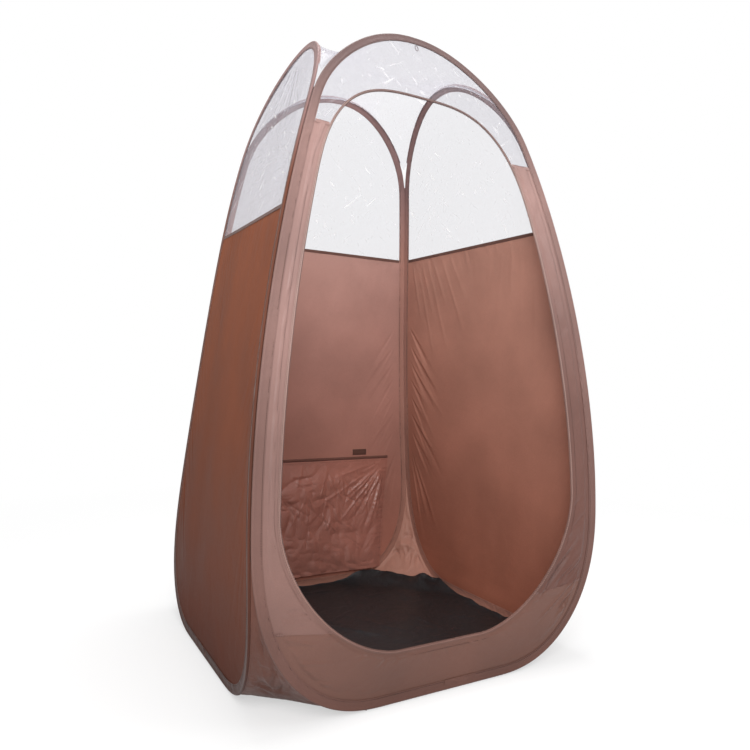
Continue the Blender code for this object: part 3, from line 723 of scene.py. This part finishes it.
def flap():
    """Loose flap inside the back opening, sewn along its top."""
    z = np.linspace(FLAP_TOP, FLAP_HEM, 150)[:, None]
    share = np.linspace(-1.0, 1.0, 241)[None, :]
    across = share * flap_half(z)
    uneven = 0.006 * noise(across * 9.0, 0.0, 81) * step(FLAP_TOP - z, 0.2, 0.46)
    z = np.broadcast_to(z, across.shape) + uneven
    loose = step(FLAP_TOP - z, 0.0, 0.12) * step(1.0 - np.abs(share), 0.0, 0.12)
    lines = scattered_lines((-0.42, 0.10), (0.42, 0.50), (20.0, 140.0), (0.08, 0.26), (0.003, 0.007),
                            (0.002, 0.004), 70, 82)
    lines += fan_lines((-0.44, 0.52), (-80.0, -10.0), (0.02, 0.12), (0.10, 0.36), (0.004, 0.008),
                       (0.003, 0.006), 18, 83)
    crumple = ridges(across, z, lines) + facets(across, z, 0.13, 0.022, 84)
    gather = 0.0020 * noise(z / 0.016, share * 6.0, 85) * step(np.abs(share), 0.70, 0.97)
    inward = FLAP_OFFSET + np.abs(crumple) * loose + np.abs(gather)
    made = surface("flap_cloth", on_face(BACK, across, z, -inward), FABRIC, FLAP)
    place(made, "flap", "back_flap")
    hem_z = FLAP_TOP - 0.006
    across = np.linspace(-1.0, 1.0, 121) * flap_half(hem_z)
    sides = np.linspace(FLAP_TOP - 0.01, FLAP_BOTTOM + 0.01, 60)
    lines = [on_face(BACK, across, hem_z, -FLAP_OFFSET - 0.0012)]
    lines += [on_face(BACK, side * (flap_half(sides) - 0.008), sides, -FLAP_OFFSET - 0.0032)
              for side in (-1, 1)]
    stitch("flap_stitches", lines, "flap")


def flap_fittings():
    """Hem above the flap, its tab, and the hook-and-loop strips down both sides."""
    across = np.linspace(-1.0, 1.0, 161) * flap_half(FLAP_TOP)
    rows = [on_face(BACK, across, FLAP_TOP + dz, -0.0026 - lift - 0.0004 * noise(across / 0.02, dz * 80, 90))
            for dz, lift in ((0.002, 0.001), (0.004, 0.0022), (0.008, 0.0022), (0.011, 0.001), (0.013, 0.0))]
    place(surface("flap_hem_tape", rows, TAPE, HEM), "back", "flap_hem")
    tab = np.linspace(-0.3275, -0.2525, 13)
    rows = [on_face(BACK, tab, z, -0.0024 - 0.0015 * math.sin(math.pi * k / 6))
            for k, z in enumerate(np.linspace(0.540, 0.566, 7))]
    place(surface("flap_tab_tape", rows, TAPE, SEAM), "back", "flap_tab")
    edge = ((-0.324, 0.5435), (-0.256, 0.5435), (-0.256, 0.5625), (-0.324, 0.5625), (-0.324, 0.5435))
    stitch("flap_tab_stitches", [on_face(BACK, *np.array(edge).T, -0.0044)], "back")
    z = np.linspace(FLAP_TOP - OPENING_MARGIN, FLAP_BOTTOM + OPENING_MARGIN, 60)
    for side, label in ((1, "left"), (-1, "right")):
        for kind, offset, body in (("loop", 0.0022, "back"), ("hook", 0.0035, "flap")):
            rows = []
            for inward in np.linspace(0.006, 0.026, 6):
                across = flap_half(z) - inward + 0.0006 * noise(z / 0.01, inward * 90, 91)
                rows.append(on_face(BACK, side * across, z, -offset))
            strip = "flap_%s_strip_%s" % (kind, label)
            place(surface(strip + "_pile", rows, 0.0008, VELVET), body, strip)


# ---- Front -----------------------------------------------------------------------------------
def front_grid(first, last, count=44):
    """Rows of (across, height) points, from the hoop's edge in to the doorway's."""
    outer = [span(inset(HOOP_LOOP, d), first, last) for d in (PANEL_EDGE, PANEL_TURN)]
    inner = [span(inset(DOOR_LOOP, -d), first, last) for d in (BINDING_WIDTH + 0.002, 0.002)]
    share = np.linspace(0.0, 1.0, count)[:, None, None]
    middle = outer[1] + share * (inner[0] - outer[1])
    return np.concatenate([outer[:1], middle, inner[1:]])


def front_panel(name, node_name, first, last, thickness, paint, wrinkles):
    grid = front_grid(first, last)
    share = np.linspace(0.0, 1.0, len(grid))[:, None]
    width = np.linalg.norm(grid[0] - grid[-1], axis=1)[None, :]
    calm = step(share * width, 0.018, 0.034) * step((1 - share) * width, 0.010, 0.022)
    run = run_length(grid[len(grid) // 2])[None, :]
    proud = wrinkles(grid[..., 0], grid[..., 1], run, share) * calm
    made = surface(name, on_face(FRONT, grid[..., 0], grid[..., 1], proud), thickness, paint)
    place(made, "front", node_name)


RIGHT_PULLS = scattered_lines((0.32, 0.14), (0.50, 0.42), (28.0, 50.0), (0.08, 0.20), (0.003, 0.007),
                              (0.004, 0.007), 30, 240)
LEFT_PULLS = scattered_lines((-0.52, 0.08), (-0.44, 0.42), (-24.0, 2.0), (0.04, 0.13), (0.003, 0.006),
                             (0.002, 0.005), 26, 241)


def puckers(run, share, seed):
    """Short gathers square to the band, along the hoop's sleeve and along the doorway's stitching."""
    sleeve_side = noise(run / 0.013, share * 2.0, seed) * np.exp(-share / 0.16)
    door_side = noise(run / 0.015, share * 2.0, seed + 1) * step(share, 0.62, 0.92)
    return 0.0024 * sleeve_side + 0.0018 * door_side


def band_wrinkles(across, z, run, share):
    slow = 0.0035 * noise(run * 3.0, share * 1.2, 201)
    cross = 0.0016 * noise(run / 0.05 + share * 1.5, share * 2.0, 202)
    crumple = facets(run, share * 0.10, 0.11, 0.004, 204)
    return slow + cross + crumple + puckers(run, share, 205) + ridges(across, z, RIGHT_PULLS + LEFT_PULLS)


def bottom_wrinkles(across, z, run, share):
    soft = 0.004 * noise(across * 3.5, z * 6.0, 211)
    crumple = facets(run, share * 0.12, 0.14, 0.004, 212)
    return soft + crumple + puckers(run, share, 215) + ridges(across, z, RIGHT_PULLS + LEFT_PULLS)


def header_wrinkles(across, z, run, share):
    spread = 0.0035 * fan(across, z, (0.0, 2.14), 20.0, 0.5, 221)
    return spread + 0.004 * noise(across * 5.0, z * 5.0, 222)


def front():
    left_foot, left_head = LOOP - GUSSET_STATION, LOOP - HEADER_STATION
    front_panel("front_bottom_cloth", "front_bottom_band", -GUSSET_STATION, GUSSET_STATION, FABRIC,
                BOTTOM_BAND, bottom_wrinkles)
    front_panel("front_right_cloth", "front_right_band", GUSSET_STATION, HEADER_STATION, FABRIC,
                RIGHT_BAND, band_wrinkles)
    front_panel("front_left_cloth", "front_left_band", left_head, left_foot, FABRIC, BAND, band_wrinkles)
    front_panel("front_header_film", "front_window", HEADER_STATION, left_head, FILM, CLEAR, header_wrinkles)
    for side, station in (("right", HEADER_STATION), ("left", left_head)):
        header_tape(side, station)
    for side, station in (("right", GUSSET_STATION), ("left", left_foot)):
        band_seam(side, station)
    doorway_binding()
    band_stitches()


def cross_strip(station, shifts, proud):
    """Rows of points across the front band at one station, shifted along the band."""
    ends = inset(HOOP_LOOP, PANEL_TURN)[station], inset(DOOR_LOOP, -BINDING_WIDTH - 0.001)[station]
    line = np.linspace(*ends, 31)
    along = (ends[1] - ends[0]) / np.linalg.norm(ends[1] - ends[0])
    sideways = np.array([-along[1], along[0]])
    return [on_face(FRONT, *(line + sideways * shift).T, proud) for shift in shifts]


def header_tape(side, station):
    rows = cross_strip(station, np.linspace(-0.006, 0.006, 5), 0.0017)
    made = surface("front_%s_header_seam" % side, rows, TAPE, BAND)
    place(made, "front", "front_%s_header_tape" % side)
    stitch("front_%s_header_stitches" % side, cross_strip(station, (-0.0045, 0.0045), 0.0024), "front")


def band_seam(side, station):
    """Lapped seam where a side band meets the bottom band."""
    rows = [row for shift, proud in ((-0.0035, 0.0007), (-0.0025, 0.0012), (0.0, 0.0014), (0.0025, 0.0012),
                                     (0.0035, 0.0007)) for row in cross_strip(station, (shift,), proud)]
    place(surface("front_%s_lap_seam" % side, rows, TAPE, BAND), "front")
    stitch("front_%s_lap_stitches" % side, cross_strip(station, (-0.0025, 0.0025), 0.0022), "front")


def doorway_binding():
    """Binding folded round the doorway's edge, with two stitch lines a side."""
    turn = np.linspace(math.pi / 2, 3 * math.pi / 2, 7)
    nose = [(-0.0024 + 0.0012 * math.cos(t), 0.0012 * math.sin(t)) for t in turn]
    section = [(-BINDING_WIDTH, 0.0012), (-0.006, 0.0016), *nose,
               (-0.006, -0.0016), (-BINDING_WIDTH, -0.0012)]
    run = run_length(closed(DOOR_LOOP))
    rows = []
    for depth, proud in section:
        pucker = 1.0 + 0.5 * np.abs(noise(run / 0.010, depth / 0.004, 231))
        rows.append(on_face(FRONT, *closed(inset(DOOR_LOOP, depth)).T, proud * pucker))
    place(surface("doorway_binding_tape", rows, TAPE, BINDING), "front", "doorway_binding")
    for label, depth in (("inner", 0.003), ("outer", 0.008)):
        path = closed(inset(DOOR_LOOP, -depth))
        lines = [on_face(FRONT, *path.T, side * 0.0030) for side in (1, -1)]
        stitch("doorway_stitches_" + label, lines, "front", length=0.0052, pitch=0.0064, radius=0.0011)


def band_stitches():
    """Stitching on the front bands beside the doorway's binding."""
    path = inset(DOOR_LOOP, -BINDING_WIDTH - 0.014)
    kept = span(path, -HEADER_STATION, HEADER_STATION)
    stitch("front_band_stitches", [on_face(FRONT, *kept.T, 0.0016)], "front", length=0.0052,
           pitch=0.0066, radius=0.0010)


# ---- Corners: the back right one has no joint between its bodies ------------------------------
def diagonal(corner):
    """Unit plan direction at a corner, from the near face's side to the far face's side."""
    along = np.array([-1.0, 1.0, 0.0]) / math.sqrt(2.0)
    for _ in range(corner):
        along = np.array([-along[1], along[0], 0.0])
    return along


def bend_corner(made, corner, near, reach, *nodes):
    """Bake a corner's fabric into its mesh, through bend, and let it stand for its CAD nodes."""
    along = diagonal(corner) * reach
    bend(made, FACES[corner], FACES[(corner - 1) % 4], near - along, near + along, *nodes)


def corner_tape(corner):
    """Inner tape from one sleeve to the next, in short lengths that each turn about the corner."""
    lengths = np.linspace(0.42, 1.78, 6)
    for part, (low, high) in enumerate(zip(lengths, lengths[1:])):
        z = np.linspace(low, high, 25)
        half = plan_half(z)
        legs = [(depth, 0.0052 + 0.0004 * noise(z / 0.02, depth * 100, 400 + corner))
                for depth in (0.028, 0.022, 0.016, 0.010, 0.0058)]
        # At the open corner a narrow tongue of the near tape laps over the far one.
        tongue = legs[-1:]
        if corner == OPEN_CORNER:
            tongue = [(0.0068, 0.0062), (0.0066, 0.0085), (0.0066, 0.0115)]
        near = [on_face(corner, -(half - depth), z, -proud) for depth, proud in legs[:-1] + tongue]
        far = [on_face((corner - 1) % 4, half - depth, z, -proud) for depth, proud in legs[::-1]]
        name = "%s_tape_%d" % (CORNERS[corner], part + 1)
        nodes = [CORNERS[corner] + "_corner_tape"] if part == 0 else []
        if corner == OPEN_CORNER:
            place(surface(name + "_near", near, TAPE, WALL_SLEEVE), "back", *nodes)
            place(surface(name + "_far", far, TAPE, WALL_SLEEVE), "right")
            continue
        middle = on_face(corner, -plan_half((low + high) / 2), (low + high) / 2)
        bend_corner(surface(name, near + far, TAPE, WALL_SLEEVE), corner, middle, 0.010, *nodes)


def gusset(corner):
    """Crumpled fabric that closes the rounded feet of two neighbouring hoops."""
    wire = inset(HOOP_LOOP, WIRE_INSET)[:HALF_LOOP + 1]
    level = np.linspace(0.0, 1.0, 61)
    z = 0.0085 + (0.430 - 0.0085) * level ** 1.6
    across = np.interp(z, np.maximum.accumulate(wire[:, 1]), wire[:, 0])
    near, far = on_face(corner, -across, z), on_face((corner - 1) % 4, across, z)
    gap = np.linalg.norm(far - near, axis=1, keepdims=True)
    tuck = (far - near) / gap * np.minimum(GUSSET_TUCK, 0.3 * gap)
    share = np.linspace(0.0, 1.0, 61)
    grid = (near + tuck)[None] + share[:, None, None] * (far - near - 2.0 * tuck)[None]
    foot = grid[:, :1].copy()
    foot[..., 2] = 0.0012
    grid = np.concatenate([foot, grid], axis=1)
    outward = grid[..., :2].mean(axis=(0, 1))
    outward /= np.linalg.norm(outward)
    width = np.linalg.norm(grid[-1] - grid[0], axis=-1)[None, :]
    arch = np.sin(math.pi * share)[:, None]
    across, height = (share[:, None] - 0.5) * width, grid[..., 2]
    lines = scattered_lines((-0.16, 0.0), (0.16, 0.30), (40.0, 140.0), (0.06, 0.20), (0.004, 0.009),
                            (0.004, 0.009), 34, 500 + corner)
    crumple = ridges(across, height, lines) + facets(across, height, 0.09, 0.034, 510 + corner) - 0.010
    above = step(height, 0.0, 0.10)
    push = -0.10 * arch * width * above + crumple * step(arch * width, 0.0, 0.08) * (0.25 + 0.75 * above)
    grid[..., :2] += outward * push[..., None]
    name = CORNERS[corner] + "_gusset"
    if corner == OPEN_CORNER:
        half = len(share) // 2
        place(surface(name + "_near_cloth", grid[:half + 1], FABRIC, GUSSET), "back", name)
        place(surface(name + "_far_cloth", grid[half:], FABRIC, GUSSET), "right")
        return
    middle = grid[len(share) // 2, 18]
    bend_corner(surface(name + "_cloth", grid, FABRIC, GUSSET), corner, middle, 0.05, name)


# ---- Roof and floor: two parts each, split near the front left to back right diagonal ---------
def roof_grid():
    wire = inset(HOOP_LOOP, WIRE_INSET)
    first = HEADER_STATION + round(0.3 * SEGMENTS[4])
    count = 33
    picked = np.linspace(first, LOOP - first, count)
    arch = np.stack([np.interp(picked, np.arange(LOOP), wire[:, k]) for k in (0, 1)], axis=1)
    edges = [on_face(face, arch[::-1, 0], arch[::-1, 1]) for face in range(4)]
    grid = np.zeros((count, count, 3))
    grid[0], grid[-1] = edges[FRONT], edges[BACK][::-1]
    grid[1:-1, -1], grid[1:-1, 0] = edges[RIGHT][1:-1], edges[LEFT][1:-1][::-1]
    for row, column, face, end in ((0, 0, FRONT, 0), (0, -1, RIGHT, 0), (-1, -1, BACK, 0), (-1, 0, LEFT, 0)):
        grid[row, column] = (edges[face][end] + edges[face - 1][-1]) / 2
    grid[1:-1, 1:-1] = (grid[0].mean(axis=0) + grid[-1].mean(axis=0)) / 2
    for _ in range(2500):
        inner = grid[:-2, 1:-1] + grid[2:, 1:-1] + grid[1:-1, :-2] + grid[1:-1, 2:]
        grid[1:-1, 1:-1] = inner / 4
    for edge, nextto in ((grid[0], grid[1]), (grid[-1], grid[-2]), (grid[:, 0], grid[:, 1]),
                         (grid[:, -1], grid[:, -2])):
        out = nextto[1:-1] - edge[1:-1]
        edge[1:-1] += CLEAR_OF_SLEEVE * out / np.linalg.norm(out, axis=1, keepdims=True)
    return grid


def triangle(name, grid, thickness, paint, offset=0):
    """Part of a square grid: the points whose column is at least their row plus the offset."""
    count = len(grid)
    number = -np.ones((count, count), int)
    picked = [(i, j) for i in range(count) for j in range(max(i + offset, 0), count)]
    for k, (i, j) in enumerate(picked):
        number[i, j] = k
    faces = []
    for i in range(count - 1):
        for j in range(max(i + offset, 0), count - 1):
            corners = [number[i, j], number[i, j + 1], number[i + 1, j + 1], number[i + 1, j]]
            faces.append(tuple(int(c) for c in corners if c >= 0))
    return sheet(name, [grid[i, j] for i, j in picked], faces, thickness, paint, weld=False)


# Half length along x and y handed to bend with each roof and floor part.
TURN = 0.12


def roof_hems(grid):
    """The sewn hem where the roof's film meets each arch."""
    strips = {FRONT: grid[:3], RIGHT: grid[:, :-4:-1].transpose(1, 0, 2), BACK: grid[:-4:-1],
              LEFT: grid[:, :3].transpose(1, 0, 2)}
    for face, (edge, *_, inner) in strips.items():
        out = inner - edge
        out = out / np.linalg.norm(out, axis=1, keepdims=True)
        out[0], out[-1] = out[1], out[-2]
        lift = np.array((0.0, 0.0, 0.0014))
        rows = [(edge + out * depth + lift)[1:-1] for depth in (-0.001, 0.001, 0.003, 0.005)]
        paint = FRONT_SLEEVE if face == FRONT else WALL_SLEEVE
        place(surface(FACES[face] + "_roof_hem", rows, TAPE, paint), FACES[face])


def roof():
    grid = roof_grid()
    roof_hems(grid)
    across, depth = grid[..., 0], grid[..., 1]
    ramp = np.linspace(0.0, 1.0, len(grid))
    ramp = step(np.minimum(ramp, 1.0 - ramp), 0.0, 0.15)
    inside = np.minimum(ramp[:, None], ramp[None, :])
    billow = 0.006 * noise(across * 6, depth * 6, 601) - 0.004 * creases(across * 8, depth * 5, 602)
    grid[..., 2] += inside * billow
    for label, low, high, shown, nodes in (("near", "front", "right", grid, ("roof_panel",)),
                                           ("far", "left", "back", grid.transpose(1, 0, 2), ())):
        made = triangle("roof_film_" + label, shown, FILM, CLEAR)
        bend(made, low, high, (-TURN, -TURN, 2.0), (TURN, TURN, 2.0), *nodes)


# Grid steps from the mat's diagonal to the line where its two parts meet.
MAT_SPLIT = 13


def floor():
    """Black mat, wavy along its edges."""
    count = 121
    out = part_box("floor_mat")[1][0] - 0.006
    chamfer = 0.285
    share = np.linspace(-1.0, 1.0, count)
    x, y = np.meshgrid(share, share)
    x, y = x * out, y * out
    # Pull the square's corners in to the line of the gussets.
    over = np.maximum(np.abs(x) + np.abs(y) - (out + chamfer), 0.0) / 2
    x, y = x - np.sign(x) * over, y - np.sign(y) * over
    edge = np.minimum(out - np.maximum(np.abs(x), np.abs(y)), (out + chamfer - np.abs(x) - np.abs(y)) / 1.414)
    z = 0.0012 + 0.0030 * np.abs(noise(x * 5, y * 5, 701)) * step(edge, 0.0, 0.05)
    lines = scattered_lines((-0.5, -0.5), (0.5, 0.5), (0.0, 360.0), (0.15, 0.45), (0.005, 0.010),
                            (0.002, 0.004), 40, 702)
    z = z + np.abs(ridges(x, y, lines)) * step(edge, 0.0, 0.05)
    z = z + 0.016 * np.exp(-edge / 0.014) * (0.6 + 0.4 * noise((x - y) * 12, (x + y) * 12, 703))
    corner = step(np.abs(x) + np.abs(y), out + chamfer - 0.15, out + chamfer)
    z = z + 0.030 * corner * (1.0 + 0.25 * noise((x - y) * 14, (x + y) * 6, 704))
    grid = np.stack([x, y, z], axis=-1)
    near = triangle("floor_cloth_near", grid, 0.001, MAT, MAT_SPLIT)
    bend(near, "front", "right", (-TURN, -TURN, 0.0), (TURN, TURN, 0.0), "floor_mat")
    # The far part rides on the left wall.
    far = triangle("floor_cloth_far", grid.transpose(1, 0, 2), 0.001, MAT, -MAT_SPLIT)
    place(far, "left")
    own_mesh(far)


# ---- Studio ----------------------------------------------------------------------------------
CAMERA_PLACE = (-1.1679, -2.2491, 0.8927)
CAMERA_YAW, CAMERA_PITCH, CAMERA_ROLL = 30.91, 7.27, 1.20
CAMERA_LENS = 32.24
CAMERA_SHIFT = (-0.045, -0.11)


def camera():
    yaw, pitch, roll = (math.radians(a) for a in (CAMERA_YAW, CAMERA_PITCH, CAMERA_ROLL))
    ahead = Vector((math.sin(yaw) * math.cos(pitch), math.cos(yaw) * math.cos(pitch), math.sin(pitch)))
    right = Vector((math.cos(yaw), -math.sin(yaw), 0.0))
    up = right.cross(ahead)
    turn = Matrix.Rotation(-roll, 3, ahead)
    right, up = turn @ right, turn @ up
    data = bpy.data.cameras.new("camera")
    data.lens = CAMERA_LENS
    data.sensor_width = 36.0
    data.shift_x, data.shift_y = CAMERA_SHIFT
    made = bpy.data.objects.new("camera", data)
    bpy.context.collection.objects.link(made)
    axes = Matrix((right, up, -ahead)).transposed().to_4x4()
    made.matrix_world = Matrix.Translation(CAMERA_PLACE) @ axes
    bpy.context.scene.camera = made


AMBIENT = 0.62
LAMPS = (("key", (-2.3, -4.2, 3.2), 3.0, 210.0),
         ("fill", (3.0, -3.4, 3.6), 2.6, 60.0),
         ("top", (0.2, 0.3, 5.2), 3.0, 140.0))


def lamp(name, place_at, aim, size, power):
    data = bpy.data.lights.new(name, "AREA")
    data.shape = "DISK"
    data.size = size
    data.energy = power
    made = bpy.data.objects.new(name, data)
    bpy.context.collection.objects.link(made)
    made.location = place_at
    made.rotation_euler = (Vector(aim) - Vector(place_at)).to_track_quat("-Z", "Y").to_euler()


def studio():
    world = bpy.data.worlds.new("studio")
    world.use_nodes = True
    tree = world.node_tree
    seen = node(tree, "LightPath").outputs["Is Camera Ray"]
    strength = scaled(tree, seen, 0.0, 1.0, AMBIENT, 1.0)
    tree.links.new(strength, tree.nodes["Background"].inputs["Strength"])
    tree.nodes["Background"].inputs["Color"].default_value = (1.0, 1.0, 1.0, 1.0)
    bpy.context.scene.world = world
    bpy.context.scene.view_settings.view_transform = "Standard"
    for name, place_at, size, power in LAMPS:
        lamp(name, place_at, (0.0, 0.0, 0.9), size, power)
    bpy.ops.mesh.primitive_plane_add(size=60.0, location=(0.0, 0.0, -0.001))
    ground = bpy.context.object
    ground.name = "studio_floor"
    made, tree = blank("studio_floor")
    speck = node(tree, "TexNoise", {"Scale": 40.0}).outputs[0]
    pale = mix(tree, speck, (0.86, 0.86, 0.86), (0.89, 0.89, 0.89))
    skin = node(tree, "BsdfPrincipled", {"Base Color": pale, "Roughness": 0.8}).outputs[0]
    light = node(tree, "Emission", {"Color": (1.0, 1.0, 1.0, 1.0), "Strength": 1.0}).outputs[0]
    seen = node(tree, "LightPath").outputs["Is Camera Ray"]
    away = node(tree, "VectorMath", {0: node(tree, "TexCoord").outputs["Object"]},
                operation="LENGTH").outputs["Value"]
    share = combine(tree, "MULTIPLY", seen, scaled(tree, away, 1.0, 3.5, 0.55, 1.0))
    both = node(tree, "MixShader", {0: share, 1: skin, 2: light}).outputs[0]
    node(tree, "OutputMaterial", {"Surface": both})
    ground.data.materials.append(made)


def build():
    for face in range(4):
        sleeve(face)
        repaint(FACES[face] + "_hoop_wire", STEEL)
        repaint(FACES[face] + "_ferrule", STEEL)
    for face in (RIGHT, LEFT):
        lower_wall(face)
    for face in (RIGHT, BACK, LEFT):
        window(face)
        sill_tape(face)
    back_wall()
    flap()
    flap_fittings()
    front()
    repaint("hang_loop", THREAD)
    for corner in range(4):
        corner_tape(corner)
        gusset(corner)
    roof()
    floor()
    studio()
    camera()


build()
